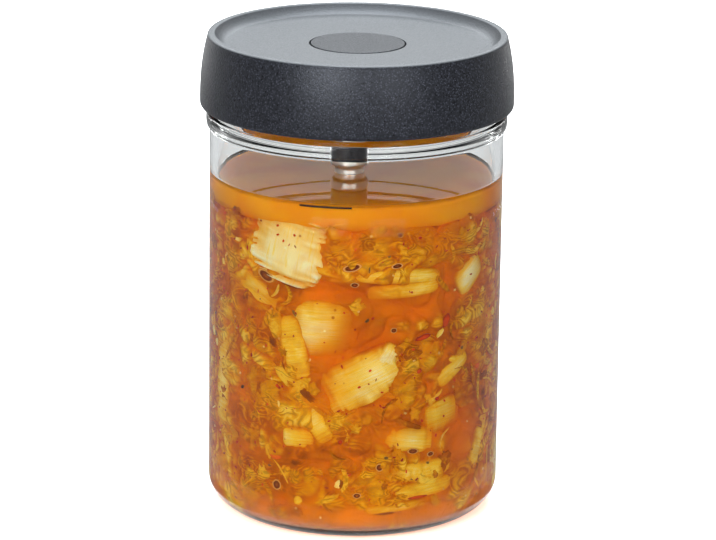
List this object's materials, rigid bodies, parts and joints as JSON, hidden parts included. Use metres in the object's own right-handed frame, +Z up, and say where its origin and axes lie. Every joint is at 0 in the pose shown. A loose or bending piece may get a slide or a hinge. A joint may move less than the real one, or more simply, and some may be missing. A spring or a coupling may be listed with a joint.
{
  "type": "fermentation jar",
  "caption": "Round glass fermentation jar filled with kimchi in brine, closed by a dark plastic lid with a push button and a steel press stem.",
  "frame": {"origin": "centre of the jar's flat foot, on the surface that it stands on", "axes": "+Z up along the jar's axis; -Y is the side with the fill line"},
  "size_m": [0.115, 0.115, 0.178],
  "materials": {
    "glass": "clear, polished",
    "kimchi": "wet cabbage in orange brine",
    "lid": "anthracite, finely grained",
    "button": "anthracite, smooth matte",
    "holder": "dark",
    "steel": "turned and satin"
  },
  "bodies": {
    "root": {"jar_glass": "glass", "kimchi": "kimchi", "lid": "lid", "lid_button": "button", "press_holder": "holder", "press_stem": "steel"}
  },
  "joints": []
}
